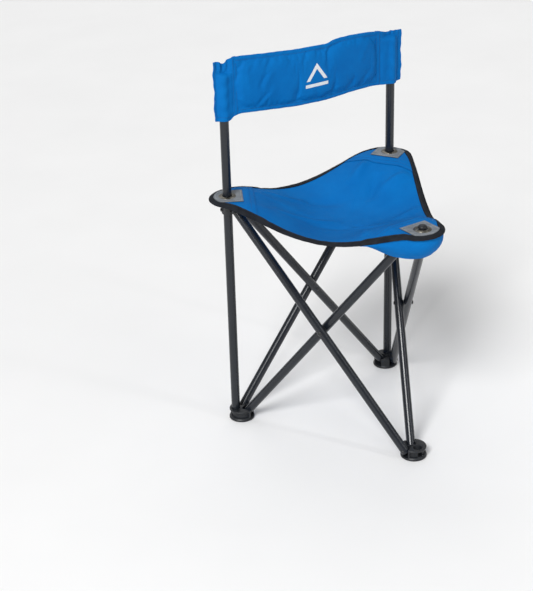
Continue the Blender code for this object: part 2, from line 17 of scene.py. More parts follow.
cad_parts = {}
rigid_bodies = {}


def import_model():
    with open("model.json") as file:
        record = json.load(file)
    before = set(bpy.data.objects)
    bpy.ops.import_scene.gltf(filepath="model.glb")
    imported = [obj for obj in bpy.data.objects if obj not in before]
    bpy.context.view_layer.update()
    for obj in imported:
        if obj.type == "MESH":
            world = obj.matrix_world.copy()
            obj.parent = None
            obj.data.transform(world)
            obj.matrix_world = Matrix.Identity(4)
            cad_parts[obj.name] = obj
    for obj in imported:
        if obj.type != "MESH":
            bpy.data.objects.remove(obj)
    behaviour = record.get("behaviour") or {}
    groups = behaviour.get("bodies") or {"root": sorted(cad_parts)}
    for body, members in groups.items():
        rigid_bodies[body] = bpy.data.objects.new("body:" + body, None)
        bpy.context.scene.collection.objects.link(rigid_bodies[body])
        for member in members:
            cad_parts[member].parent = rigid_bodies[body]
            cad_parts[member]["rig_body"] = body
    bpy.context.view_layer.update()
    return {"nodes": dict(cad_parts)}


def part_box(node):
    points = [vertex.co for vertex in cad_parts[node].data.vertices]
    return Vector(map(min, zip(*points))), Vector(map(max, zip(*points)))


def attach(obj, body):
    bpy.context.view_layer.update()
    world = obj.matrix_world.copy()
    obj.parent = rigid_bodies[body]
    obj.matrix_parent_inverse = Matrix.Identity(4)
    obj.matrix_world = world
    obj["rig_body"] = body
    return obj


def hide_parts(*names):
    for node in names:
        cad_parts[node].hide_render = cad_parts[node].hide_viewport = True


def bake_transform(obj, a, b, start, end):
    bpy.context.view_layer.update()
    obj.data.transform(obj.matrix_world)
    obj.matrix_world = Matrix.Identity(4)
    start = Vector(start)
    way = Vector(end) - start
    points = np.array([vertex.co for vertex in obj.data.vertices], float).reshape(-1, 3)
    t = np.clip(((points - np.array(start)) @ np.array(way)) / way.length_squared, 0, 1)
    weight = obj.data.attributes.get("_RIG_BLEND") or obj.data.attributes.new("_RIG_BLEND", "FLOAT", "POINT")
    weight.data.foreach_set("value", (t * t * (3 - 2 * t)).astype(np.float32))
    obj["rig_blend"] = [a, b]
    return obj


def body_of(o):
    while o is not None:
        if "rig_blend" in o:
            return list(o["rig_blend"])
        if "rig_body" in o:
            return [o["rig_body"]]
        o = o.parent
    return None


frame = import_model()
NODES = frame["nodes"]

# ---------------------------------------------------------------- places from the frame


def middle_of(node):
    low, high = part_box(node)
    return (low + high) / 2


def on_floor(point):
    return Vector((point.x, point.y, 0))


CORNERS = ("left", "right", "front")
GROMMET = {c: on_floor(middle_of(f"{c}_grommet")) for c in CORNERS}
MIDDLE = (GROMMET["left"] + GROMMET["right"] + GROMMET["front"]) / 3
REACH = (GROMMET["left"] - MIDDLE).length
SPACING = REACH * math.sqrt(3)
PLAN_MIDDLE = np.array(MIDDLE.xy)
FRONT_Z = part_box("front_patch")[1].z - 0.0026
REAR_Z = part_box("left_patch")[1].z - 0.0026
POST_R = (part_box("left_post")[1].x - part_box("left_post")[0].x) / 2
POST_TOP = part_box("left_post_cap")[1].z
POST_X = middle_of("right_post").x
POST_Y = middle_of("right_post").y
SLIDER = {"left": "left_slider", "right": "right_slider", "front": "front_slider"}
SEAT_BODY = {"left": "left_slider", "right": "right_seat_corner", "front": "front_seat_corner"}

# ---------------------------------------------------------------- sizes of the cloth

CLOTH = 0.0012
LOBE_IN = 0.0170  # centre of a corner's rounded end, from the grommet inward
LOBE_R = 0.0545
EDGE_OUT = {"back": 0.0640, "right": 0.0520, "left": 0.0570}  # mid-edge outside the grommets
EDGE_SAG = {"back": 0.0420, "right": 0.0480, "left": 0.0380}
EDGE_SKEW = {"back": 1.0, "right": 1.03, "left": 0.89}  # below 1 the sag is deepest early on
CENTRE_SAG = 0.0680
BOWL_RUN = 0.1600
BOWL_START = {"left": 0.0420, "right": 0.0400, "front": 0.0560}
SAG_POWER = 1.7
FLAT_R = 0.0500
SEAM_IN = 0.0580  # a corner layer's seam, from the grommet inward
LAYER_T = 0.0014
PATCH_HALF = 0.0325
BIND_W = 0.0125
BIND_DROOP = 0.0026
RIGID_U = 0.0340  # cloth nearer the grommet than this moves with the corner
GATHER_U = 0.1540  # cloth past this moves with the seat's middle
BEFORE = {"left": "left", "right": "back", "front": "right"}  # side at a corner's -v edge
AFTER = {"left": "back", "right": "right", "front": "left"}  # side at its +v edge


# ---------------------------------------------------------------- sizes of the backrest

SEAM = {"left": 0.0238, "right": 0.0418}  # sleeve-to-pad seam, in from the post's axis
SEAM_HALF = {"left": 0.0035, "right": 0.0045}  # half the distance between its two rows
FLAP_SEAM = 0.0174  # out from the post's axis
FLAP_END = {"left": 0.0212, "right": 0.0285}
PAD_LEFT = SEAM["left"] - POST_X
PAD_RIGHT = POST_X - SEAM["right"]
PAD_SET = 0.0065  # the pad's ends are this far in front of the posts' axes
PAD_BOW = 0.0120
PAD_HALF_T = 0.0055
HEM = 0.0085
PRINT_Z = 0.7680
SETTLE_FRAMES = 20
BLOWN_LIMIT = 0.0050  # how far the filling may move a point of the pad
SLEEVE_R = POST_R + 0.0024
SLEEVE_SKIN = 0.0012
TOP_EDGE = (
    (-0.241, 0.830), (-0.223, 0.829), (-0.216, 0.820), (-0.209, 0.829), (-0.196, 0.835),
    (-0.178, 0.835), (-0.133, 0.832), (-0.042, 0.826), (0.009, 0.825), (0.030, 0.823),
    (0.046, 0.828), (0.068, 0.830), (0.106, 0.829), (0.146, 0.826), (0.184, 0.820),
    (0.199, 0.813), (0.215, 0.814), (0.246, 0.812),
)
BOTTOM_EDGE = (
    (-0.241, 0.705), (-0.227, 0.704), (-0.206, 0.703), (-0.199, 0.710), (-0.183, 0.713),
    (-0.120, 0.709), (-0.044, 0.703), (0.029, 0.701), (0.106, 0.704), (0.159, 0.703),
    (0.183, 0.700), (0.226, 0.696), (0.246, 0.699),
)


# ---------------------------------------------------------------- meshes


def new_object(name, mesh, material):
    obj = bpy.data.objects.new(name, mesh)
    bpy.context.scene.collection.objects.link(obj)
    if material:
        mesh.materials.append(material)
    return obj


def mesh_from(name, points, faces, material):
    mesh = bpy.data.meshes.new(name)
    mesh.from_pydata([tuple(p) for p in points], [], [tuple(f) for f in faces])
    mesh.validate()
    mesh.shade_smooth()
    return new_object(name, mesh, material)


def grid_faces(rows, columns, offset=0, wrap_columns=False, flip=False):
    faces = []
    for i in range(rows - 1):
        for j in range(columns if wrap_columns else columns - 1):
            k, m = i + 1, (j + 1) % columns
            face = (i * columns + j, i * columns + m, k * columns + m, k * columns + j)
            face = tuple(v + offset for v in face)
            faces.append(face[::-1] if flip else face)
    return faces


def rim_edges(rows, columns):
    """Pairs of neighbouring points round the border of a grid."""
    rim = [j for j in range(columns)]
    rim += [i * columns + columns - 1 for i in range(1, rows)]
    rim += [(rows - 1) * columns + j for j in range(columns - 2, -1, -1)]
    rim += [i * columns for i in range(rows - 2, 0, -1)]
    return zip(rim, rim[1:] + rim[:1])


def unit(vectors):
    return vectors / np.maximum(np.linalg.norm(vectors, axis=-1, keepdims=True), 1e-12)


def grid_normals(grid):
    """Upward unit normals of an (rows, columns, 3) grid of points."""
    along = np.gradient(grid, axis=0)
    return unit(np.cross(along, np.gradient(grid, axis=1)))


def sheet_mesh(name, grid, normals, thick, material):
    """Closed thin sheet around a grid of points, with its normals kept from the whole cloth."""
    rows, columns = grid.shape[:2]
    count = rows * columns
    top = (grid + normals * thick / 2).reshape(-1, 3)
    bottom = (grid - normals * thick / 2).reshape(-1, 3)
    step = np.cross(grid[1, 0] - grid[0, 0], grid[0, 1] - grid[0, 0])
    upward = bool(np.dot(step, normals[0, 0]) < 0)
    faces = grid_faces(rows, columns, flip=not upward)
    faces += grid_faces(rows, columns, count, flip=upward)
    for a, b in rim_edges(rows, columns):
        wall = (b, a, a + count, b + count)
        faces.append(wall if upward else wall[::-1])
    obj = mesh_from(name, np.vstack([top, bottom]), faces, material)
    flat = normals.reshape(-1, 3)
    keep_normals(obj, np.vstack([flat, -flat]))
    return obj


def keep_normals(obj, normals):
    obj.data.normals_split_custom_set_from_vertices([tuple(n) for n in normals])


def turned(name, profile, material, segments, place):
    """Closed lathe of an (r, z) outline about Z; r = 0 closes it on the axis."""
    bm = bmesh.new()
    rings = []
    for r, z in profile:
        count = segments if r > 0 else 1
        angles = [2 * math.pi * i / segments for i in range(count)]
        rings.append([bm.verts.new((r * math.cos(a), r * math.sin(a), z)) for a in angles])
    last = len(rings) if profile[0][0] > 0 else len(rings) - 1
    for i in range(last):
        low, high = rings[i], rings[(i + 1) % len(rings)]
        for j in range(segments):
            k = (j + 1) % segments
            loop = [low[j % len(low)], low[k % len(low)], high[k % len(high)], high[j % len(high)]]
            bm.faces.new(list(dict.fromkeys(loop)))
    bmesh.ops.recalc_face_normals(bm, faces=bm.faces)
    bm.transform(place)
    mesh = bpy.data.meshes.new(name)
    bm.to_mesh(mesh)
    bm.free()
    mesh.shade_smooth()
    mesh.set_sharp_from_angle(angle=math.radians(40))
    return new_object(name, mesh, material)


STITCH, STITCH_GAP, THREAD_R, THREAD_SIDES = 0.0028, 0.0012, 0.00036, 6


def stitches(name, paths, material):
    """Thread along paths: each is (points, normals), and each stitch is a low rounded bar."""
    points = []
    faces = []
    for line, normals in paths:
        steps = np.linalg.norm(np.diff(line, axis=0), axis=1)
        run = np.concatenate([[0], np.cumsum(steps)])
        count = max(1, int(run[-1] / (STITCH + STITCH_GAP)))
        pitch = run[-1] / count
        for n in range(count):
            ends = (n * pitch + STITCH_GAP / 2, (n + 1) * pitch - STITCH_GAP / 2)
            shares = np.linspace(ends[0], ends[1], 4)
            centre = np.stack([np.interp(shares, run, line[:, k]) for k in range(3)], 1)
            up = unit(np.stack([np.interp(shares, run, normals[:, k]) for k in range(3)], 1))
            way = unit(centre[-1] - centre[0])
            side = unit(np.cross(np.broadcast_to(way, up.shape), up))
            base = len(points)
            for i, fat in enumerate((0.45, 1.0, 1.0, 0.45)):
                sink = THREAD_R * (0.55 if i in (0, 3) else 0.0)
                for s in range(THREAD_SIDES):
                    a = 2 * math.pi * s / THREAD_SIDES
                    off = side[i] * math.cos(a) + up[i] * math.sin(a)
                    points.append(centre[i] + up[i] * (THREAD_R * 0.35 - sink) + off * THREAD_R * fat)
            faces += grid_faces(4, THREAD_SIDES, base, wrap_columns=True)
            faces.append(tuple(base + s for s in range(THREAD_SIDES))[::-1])
            faces.append(tuple(base + 3 * THREAD_SIDES + s for s in range(THREAD_SIDES)))
    return mesh_from(name, points, faces, material)


def swept(name, sections, material):
    """Closed strip through stations: sections is (stations, around, 3) of points."""
    stations, around = sections.shape[:2]
    points = sections.reshape(-1, 3)
    faces = grid_faces(stations, around, wrap_columns=True, flip=True)
    faces.append(tuple(range(around)))
    faces.append(tuple((stations - 1) * around + s for s in range(around))[::-1])
    obj = mesh_from(name, points, faces, material)
    bm = bmesh.new()
    bm.from_mesh(obj.data)
    bmesh.ops.recalc_face_normals(bm, faces=bm.faces)
    bm.to_mesh(obj.data)
    bm.free()
    obj.data.set_sharp_from_angle(angle=math.radians(60))
    return obj


# ---------------------------------------------------------------- shaders


class Shader:
    """A material being built: nodes are added by kind, with sockets or values as inputs."""

    def __init__(self, name):
        self.material = bpy.data.materials.new(name)
        self.material.use_nodes = True
        self.tree = self.material.node_tree
        self.surface = self.tree.nodes["Principled BSDF"] if self.tree.nodes else None
        if self.surface is None:
            self.surface = self.tree.nodes.new("ShaderNodeBsdfPrincipled")
            output = self.tree.nodes.new("ShaderNodeOutputMaterial")
            self.tree.links.new(self.surface.outputs[0], output.inputs[0])

    def put(self, socket, value):
        if isinstance(value, bpy.types.NodeSocket):
            self.tree.links.new(value, socket)
        elif isinstance(value, bpy.types.Node):
            self.tree.links.new(value.outputs[0], socket)
        else:
            socket.default_value = value

    def add(self, kind, inputs=None, **settings):
        node = self.tree.nodes.new("ShaderNode" + kind)
        for key, value in settings.items():
            setattr(node, key, value)
        for key, value in (inputs or {}).items():
            self.put(node.inputs[key], value)
        return node

    def math(self, operation, a, b=0.0):
        return self.add("Math", {0: a, 1: b}, operation=operation)

    def ramp(self, factor, low, high, a, b):
        """Goes from colour a to colour b as the factor goes from low to high."""
        node = self.add("ValToRGB", {"Fac": factor})
        node.color_ramp.elements[0].position = low
        node.color_ramp.elements[1].position = high
        node.color_ramp.elements[0].color = (*a, 1)
        node.color_ramp.elements[1].color = (*b, 1)
        return node

    def noise(self, where, scale, detail=3.0, rough=0.55):
        return self.add("TexNoise", {"Vector": where, "Scale": scale, "Detail": detail, "Roughness": rough})

    def bump(self, height, strength, distance, below=None):
        inputs = {"Height": height, "Strength": strength, "Distance": distance}
        if below:
            inputs["Normal"] = below
        return self.add("Bump", inputs)

    def finish(self, color, roughness, normal=None, **rest):
        self.put(self.surface.inputs["Base Color"], color)
        self.put(self.surface.inputs["Roughness"], roughness)
        if normal:
            self.put(self.surface.inputs["Normal"], normal)
        for key, value in rest.items():
            self.put(self.surface.inputs[key.replace("_", " ")], value)
        return self.material


def place_of(shader):
    """Object coordinates in metres."""
    return shader.add("TexCoord").outputs["Object"]


def weave_height(shader, where, axes, pitch):
    """Plain weave: two crossed sine ribs, each yarn going over and under the others."""
    split = shader.add("SeparateXYZ", {0: where})
    turns = 2 * math.pi / pitch
    ribs = []
    for axis in axes:
        ribs.append(shader.math("SINE", shader.math("MULTIPLY", split.outputs[axis], turns)))
    return shader.math("MULTIPLY", ribs[0], ribs[1])


def cloth_material(name, dark, light, axes, pitch=0.0011, roughness=0.62):
    s = Shader(name)
    where = place_of(s)
    cloudy = s.noise(where, 16.0, 4.0)
    fine = s.noise(where, 420.0, 2.0)
    mixed = s.math("MULTIPLY", fine.outputs["Fac"], 0.30)
    total = s.math("ADD", s.math("MULTIPLY", cloudy.outputs["Fac"], 0.70), mixed)
    color = s.ramp(total, 0.30, 0.70, dark, light)
    weave = weave_height(s, where, axes, pitch)
    creased = s.noise(where, 75.0, 5.0, 0.6)
    soft = s.bump(creased.outputs["Fac"], 0.10, 0.004)
    normal = s.bump(weave, 0.16, 0.0003, soft)
    worn = s.ramp(creased.outputs["Fac"], 0.2, 0.8, (roughness - 0.06,) * 3, (roughness + 0.08,) * 3)
    return s.finish(color, worn, normal, Specular_IOR_Level=0.05)


def tape_material(name, dark, light, pitch):
    """Ribbed binding tape or coarse webbing."""
    s = Shader(name)
    where = place_of(s)
    cloudy = s.noise(where, 60.0, 4.0)
    color = s.ramp(cloudy.outputs["Fac"], 0.3, 0.7, dark, light)
    weave = weave_height(s, where, (0, 1), pitch)
    lint = s.noise(where, 900.0, 2.0)
    soft = s.bump(lint.outputs["Fac"], 0.12, 0.0008)
    normal = s.bump(weave, 0.35, 0.0005, soft)
    return s.finish(color, 0.82, normal, Specular_IOR_Level=0.15)


def thread_material(name, color):
    s = Shader(name)
    twist = s.add("TexNoise", {"Vector": place_of(s), "Scale": 2500.0, "Detail": 2.0})
    lighter = tuple(min(1.0, c * 1.35) for c in color)
    shade = s.ramp(twist.outputs["Fac"], 0.35, 0.65, color, lighter)
    return s.finish(shade, 0.70, s.bump(twist.outputs["Fac"], 0.3, 0.0004))


def paint_material(name, dark, light, roughness):
    """Powder coat: fine orange peel, with soft wear in its gloss."""
    s = Shader(name)
    where = place_of(s)
    cloudy = s.noise(where, 22.0, 4.0)
    peel = s.noise(where, 1400.0, 2.0)
    color = s.ramp(cloudy.outputs["Fac"], 0.3, 0.7, dark, light)
    gloss = s.ramp(cloudy.outputs["Fac"], 0.25, 0.75, (roughness - 0.05,) * 3, (roughness + 0.07,) * 3)
    return s.finish(color, gloss, s.bump(peel.outputs["Fac"], 0.10, 0.0004), Specular_IOR_Level=0.5)


def plastic_material(name, dark, light, roughness):
    s = Shader(name)
    where = place_of(s)
    grain = s.noise(where, 1800.0, 3.0)
    cloudy = s.noise(where, 40.0, 3.0)
    color = s.ramp(cloudy.outputs["Fac"], 0.3, 0.7, dark, light)
    scuffs = s.noise(where, 160.0, 5.0, 0.7)
    rough = s.ramp(scuffs.outputs["Fac"], 0.3, 0.7, (roughness - 0.06,) * 3, (roughness + 0.08,) * 3)
    return s.finish(color, rough, s.bump(grain.outputs["Fac"], 0.20, 0.0005), Specular_IOR_Level=0.4)


def nickel_material(name):
    s = Shader(name)
    where = place_of(s)
    tarnish = s.noise(where, 260.0, 5.0, 0.65)
    color = s.ramp(tarnish.outputs["Fac"], 0.30, 0.72, (0.060, 0.056, 0.048), (0.26, 0.245, 0.21))
    rough = s.ramp(tarnish.outputs["Fac"], 0.3, 0.7, (0.42,) * 3, (0.26,) * 3)
    scratch = s.bump(s.noise(where, 1500.0, 3.0).outputs["Fac"], 0.12, 0.0003)
    return s.finish(color, rough, scratch, Metallic=1.0)


def print_material(name):
    s = Shader(name)
    where = place_of(s)
    fine = s.noise(where, 700.0, 3.0)
    color = s.ramp(fine.outputs["Fac"], 0.25, 0.6, (0.60, 0.63, 0.66), (0.74, 0.76, 0.78))
    weave = weave_height(s, where, (0, 2), 0.0011)
    return s.finish(color, 0.5, s.bump(weave, 0.15, 0.0003))


BLUE_DARK = (0.0015, 0.118, 0.390)
BLUE_LIGHT = (0.0022, 0.150, 0.460)
SEAT_CLOTH = cloth_material("seat_cloth", BLUE_DARK, BLUE_LIGHT, (0, 1))
BACK_CLOTH = cloth_material("back_cloth", BLUE_DARK, BLUE_LIGHT, (0, 2))
TAPE = tape_material("binding_tape", (0.0080, 0.0095, 0.0130), (0.0170, 0.0195, 0.0250), 0.0016)
WEBBING = tape_material("grey_webbing", (0.150, 0.165, 0.185), (0.235, 0.255, 0.280), 0.0020)
BLUE_THREAD = thread_material("blue_thread", (0.0030, 0.060, 0.200))
DARK_THREAD = thread_material("dark_thread", (0.030, 0.032, 0.038))
GREY_THREAD = thread_material("grey_thread", (0.30, 0.32, 0.34))
PAINT = paint_material("black_powder_coat", (0.0060, 0.0080, 0.0125), (0.0095, 0.0125, 0.0180), 0.23)
PLASTIC = plastic_material("moulded_black", (0.0085, 0.0100, 0.0130), (0.0135, 0.0155, 0.0190), 0.42)
RIVET = paint_material("black_rivet", (0.010, 0.011, 0.012), (0.018, 0.019, 0.021), 0.30)
NICKEL = nickel_material("antique_nickel")
PRINT = print_material("white_print")

# ---------------------------------------------------------------- plan of the seat


def smooth_step(low, high, value):
    t = np.clip((value - low) / (high - low), 0, 1)
    return t * t * (3 - 2 * t)


def corner_frame(corner):
    """Grommet, inward and across directions in plan, about the middle of the stool."""
    grommet = np.array((GROMMET[corner] - MIDDLE).xy)
    inward = -grommet / np.linalg.norm(grommet)
    return grommet, inward, np.array((-inward[1], inward[0]))


def to_plan(corner, u, v):
    grommet, inward, across = corner_frame(corner)
    return grommet + np.multiply.outer(u, inward) + np.multiply.outer(v, across)


def half_edge(side):
    """One side's edge from its corner's rounded end to mid-edge, in the corner's (u, v)."""
    t = np.linspace(0, 0.5, 60)[1:]
    base = LOBE_R - LOBE_IN / 2
    out = base + (EDGE_OUT[side] - base) * 4 * t * (1 - t)
    half = SPACING / 2 - LOBE_IN * math.cos(math.pi / 6)
    run = half * (2 * t - 1) + SPACING / 2
    cos, sin = math.cos(math.pi / 6), math.sin(math.pi / 6)
    return np.stack([cos * run - sin * out, sin * run + cos * out], 1)


def corner_outline(corner, count):
    """Edge of one corner's third of the seat, mid-edge to mid-edge, evenly spaced."""
    before = half_edge(BEFORE[corner])[::-1] * (1, -1)
    angles = np.radians(np.linspace(240, 120, 60))
    lobe = np.stack([LOBE_IN + LOBE_R * np.cos(angles), LOBE_R * np.sin(angles)], 1)
    line = np.vstack([before, lobe, half_edge(AFTER[corner])])
    run = np.concatenate([[0], np.cumsum(np.linalg.norm(np.diff(line, axis=0), axis=1))])
    even = np.linspace(0, run[-1], count + 1)
    u, v = (np.interp(even, run, line[:, k]) for k in range(2))
    return to_plan(corner, u, v)


PER_CORNER = 132
RING = np.vstack([corner_outline(c, PER_CORNER)[:-1] for c in CORNERS])
RING_ANGLE = np.arctan2(RING[:, 1], RING[:, 0])
RING_RADIUS = np.hypot(RING[:, 0], RING[:, 1])
RING_WAY = unit(np.roll(RING, -1, axis=0) - np.roll(RING, 1, axis=0))
RING_OUT = np.stack([RING_WAY[:, 1], -RING_WAY[:, 0]], 1)
RING_OUT *= np.sign((RING_OUT * RING).sum(1))[:, None]


def ring_picks(corner):
    """Indices into RING of one corner's third, with the first point of the next."""
    first = CORNERS.index(corner) * PER_CORNER
    return (np.arange(PER_CORNER + 1) + first) % len(RING)


FOLD_GAIN = 2.2
# Soft folds of the seat in plan about its middle: start, end, height and half width
FOLDS = (
    ((0.168, 0.128), (0.085, 0.100), 0.0040, 0.012),
    ((0.150, 0.080), (0.085, 0.030), -0.0030, 0.012),
    ((0.196, 0.030), (0.120, 0.035), 0.0034, 0.010),
    ((-0.135, 0.145), (-0.020, 0.110), 0.0022, 0.009),
    ((-0.150, 0.060), (-0.010, 0.000), 0.0024, 0.010),
    ((-0.100, 0.010), (0.030, -0.060), -0.0018, 0.012),
    ((-0.020, -0.020), (0.022, -0.125), 0.0020, 0.009),
    ((0.070, -0.075), (0.150, -0.066), 0.0024, 0.010),
    ((-0.030, 0.120), (0.060, 0.060), -0.0018, 0.016),
    ((-0.075, -0.165), (-0.035, -0.110), 0.0024, 0.010),
)


def fold_height(x, y):
    total = np.zeros_like(x)
    for (ax, ay), (bx, by), height, width in FOLDS:
        run = math.hypot(bx - ax, by - ay)
        ux, uy = (bx - ax) / run, (by - ay) / run
        t = ((x - ax) * ux + (y - ay) * uy) / run
        off = (x - ax) * -uy + (y - ay) * ux
        along = np.sin(np.pi * np.clip(t, 0, 1)) ** 0.8
        total += FOLD_GAIN * height * along * np.exp(-((off / width) ** 2))
    return total


def edge_drop():
    """How far each point of RING hangs below its corners: each side sags between two corners."""
    drops = []
    for corner in CORNERS:
        k = CORNERS.index(corner)
        grommet, inward, across = corner_frame(corner)
        local = RING[k * PER_CORNER:(k + 1) * PER_CORNER] - grommet
        u, v = local @ inward, local @ across
        cos, sin = math.cos(math.pi / 6), math.sin(math.pi / 6)
        run = cos * u + sin * np.abs(v) - LOBE_IN * cos
        share = np.clip(run / (SPACING - 2 * LOBE_IN * cos), 0, 0.5)
        for side, pick, t in ((AFTER[corner], v > 0, share), (BEFORE[corner], v <= 0, 1 - share)):
            bent = t ** EDGE_SKEW[side]
            share = np.where(pick, EDGE_SAG[side] * (4 * bent * (1 - bent)) ** SAG_POWER, share)
        drops.append(share)
    return np.concatenate(drops)


def cloth_height(x, y):
    """Middle of the seat cloth above the floor, at plan points about the stool's middle."""
    angle = np.arctan2(y, x)
    fraction = np.hypot(x, y) / np.interp(angle, RING_ANGLE, RING_RADIUS, period=2 * math.pi)
    nearest = np.full_like(x, REACH)
    for corner in CORNERS:
        grommet, inward, across = corner_frame(corner)
        u = (x - grommet[0]) * inward[0] + (y - grommet[1]) * inward[1]
        v = (x - grommet[0]) * across[0] + (y - grommet[1]) * across[1]
        nearest = np.minimum(nearest, u + 0.9 * v**2 - BOWL_START[corner])
    edge = np.interp(angle, RING_ANGLE, RING_DROP, period=2 * math.pi)
    share = np.clip(fraction, 0, 1) ** 1.8
    inner = CENTRE_SAG * np.sin(np.pi / 2 * np.clip(nearest / BOWL_RUN, 0, 1)) ** 0.95
    loose = smooth_step(0, 0.040, nearest)
    base = FRONT_Z + (REAR_Z - FRONT_Z) * smooth_step(FLAT_R - REACH, REACH / 2 - FLAT_R, y)
    return base - edge * share - inner * (1 - share) + fold_height(x, y) * loose


RING_DROP = edge_drop()


def cloth_points(plan, lift=0.0):
    """World points on the seat cloth at plan points, and the cloth's upward normals there."""
    x, y = plan[..., 0], plan[..., 1]
    z = cloth_height(x, y)
    step = 0.0015
    slope_x = (cloth_height(x + step, y) - cloth_height(x - step, y)) / (2 * step)
    slope_y = (cloth_height(x, y + step) - cloth_height(x, y - step)) / (2 * step)
    normals = unit(np.stack([-slope_x, -slope_y, np.ones_like(x)], -1))
    points = np.stack([x + PLAN_MIDDLE[0], y + PLAN_MIDDLE[1], z], -1)
    return points + normals * lift, normals


def hang(obj, corner):
    """A seat piece: its corner's end moves with the corner, the rest with the seat's middle."""
    grommet, inward, _ = corner_frame(corner)
    start = grommet + inward * RIGID_U + PLAN_MIDDLE
    end = grommet + inward * GATHER_U + PLAN_MIDDLE
    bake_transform(obj, SEAT_BODY[corner], "seat_middle", start=(*start, 0.5), end=(*end, 0.5))


# ---------------------------------------------------------------- seat


def make_seat_cloth():
    rings = 56
    shares = np.linspace(0.0004, 1, rings)[:, None, None]
    inner = RING - RING_OUT * 0.0075
    for corner in CORNERS:
        plan = inner[ring_picks(corner)][None, :, :] * shares
        grid, normals = cloth_points(plan)
        obj = sheet_mesh(f"seat_cloth_{corner}", grid[::-1], normals[::-1], CLOTH, SEAT_CLOTH)
        hang(obj, corner)
        if corner == "left":
            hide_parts("seat_panel")


def ring_frames():
    """Points, normals and outward directions along the seat's edge."""
    points, normals = cloth_points(RING)
    tangents = unit(np.roll(points, -1, axis=0) - np.roll(points, 1, axis=0))
    outward = unit(np.cross(normals, tangents))
    flat = np.stack([RING[:, 0], RING[:, 1], np.zeros(len(RING))], 1)
    outward *= np.sign((outward * flat).sum(1))[:, None]
    return points, normals, outward


def ripple(points, scale, seed):
    return np.array([noise.noise(Vector(p) * scale + Vector((seed, 0, 0))) for p in points])


def over_layer():
    """Share, at each point of RING, of the corner layer's thickness under the binding."""
    shares = []
    for k, corner in enumerate(CORNERS):
        grommet, inward, _ = corner_frame(corner)
        u = (RING[k * PER_CORNER:(k + 1) * PER_CORNER] - grommet) @ inward
        shares.append(1 - smooth_step(SEAM_IN + 0.003, SEAM_IN + 0.014, u))
    return np.concatenate(shares)


def make_binding():
    """Folded tape over the seat's edge, in one strip for each corner."""
    points, normals, outward = ring_frames()
    half = 0.0011
    top = (half + LAYER_T * over_layer())[:, None]
    wave = ripple(points, 45.0, 3.0)[:, None] * 0.0009
    wave += ripple(points, 130.0, 9.0)[:, None] * 0.0004
    rings = []
    for share in np.linspace(0, 1, 8):
        height = top * (1 - 0.4 * share) + 0.0007 * math.sin(math.pi * share) - BIND_DROOP * share**2
        rings.append(points - outward * BIND_W * (1 - share) + normals * (height + wave))
    for a in np.radians((60, 30, 0, -30, -60)):
        height = (half + 0.0004) * math.sin(a) - BIND_DROOP
        rings.append(points + outward * 0.0018 * math.cos(a) + normals * (height + wave))
    for share in np.linspace(1, 0, 8):
        height = -half - 0.0006 * math.sin(math.pi * share) - BIND_DROOP * share**2
        rings.append(points - outward * BIND_W * (1 - share) + normals * (height + wave))
    rings.append(points - outward * (BIND_W + 0.0004) + normals * wave)
    sections = np.stack(rings, 1)
    for corner in CORNERS:
        picks = ring_picks(corner)
        obj = swept(f"seat_binding_{corner}", sections[picks], TAPE)
        hang(obj, corner)
        if corner == "left":
            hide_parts("seat_binding")
        for side, lift in (("top", top + 0.0004), ("under", -half - 0.0007)):
            line = points + normals * (lift + wave) - outward * BIND_W * 0.78
            facing = normals if side == "top" else -normals
            thread = stitches(f"binding_thread_{side}_{corner}", [(line[picks], facing[picks])], DARK_THREAD)
            hang(thread, corner)


def half_width(corner, u, side, inset):
    """Distance from the radial out to the seat's inset edge, at distances u past the grommet."""
    grommet, inward, across = corner_frame(corner)
    picks = ring_picks(corner)
    edge = RING[picks] - RING_OUT[picks] * inset
    local_u = (edge - grommet) @ inward
    local_v = (edge - grommet) @ across
    pick = local_v * side > 0
    order = np.argsort(local_u[pick])
    return np.interp(u, local_u[pick][order], np.abs(local_v[pick][order]))


def corner_grid(corner, u_low, u_high, inset, rows, columns, cap=None):
    """Plan grid across a corner from u_low to u_high, out to the inset edge or the cap."""
    u = np.linspace(u_low, u_high, rows)
    left = half_width(corner, u, -1, inset)
    right = half_width(corner, u, 1, inset)
    if cap:
        left, right = np.minimum(left, cap), np.minimum(right, cap)
    s = np.linspace(0, 1, columns)
    v = -left[:, None] * (1 - s) + right[:, None] * s
    return to_plan(corner, np.repeat(u[:, None], columns, 1), v)


def make_corner_layer(corner):
    """Second layer of cloth with a folded hem and a double row of stitches."""
    start = LOBE_IN - LOBE_R + 0.0060
    plan = corner_grid(corner, start + 0.0020, SEAM_IN, 0.0085, 46, 60)
    grid, normals = cloth_points(plan)
    share = np.linspace(0, 1, 46)[:, None]
    hem = 0.0003 * smooth_step(0.78, 0.86, share)
    puff = ripple(grid.reshape(-1, 3), 60.0, 21.0).reshape(grid.shape[:2]) * 0.0003
    grid = grid + normals * (0.0011 + hem + puff * (1 - share))[..., None]
    facing = grid_normals(grid)
    facing *= np.sign(facing[..., 2:])
    obj = sheet_mesh(f"corner_layer_{corner}", grid, facing, 0.0008, SEAT_CLOTH)
    hang(obj, corner)
    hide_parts(f"{corner}_corner_panel")
    lines = []
    for back in (0.0020, 0.0110):
        u = np.full(80, SEAM_IN - back)
        left = -half_width(corner, u[:1], -1, 0.0130)[0]
        right = half_width(corner, u[:1], 1, 0.0130)[0]
        row = to_plan(corner, u, np.linspace(left, right, 80))
        lines.append(cloth_points(row, 0.0019))
    thread = stitches(f"corner_thread_{corner}", lines, BLUE_THREAD)
    hang(thread, corner)


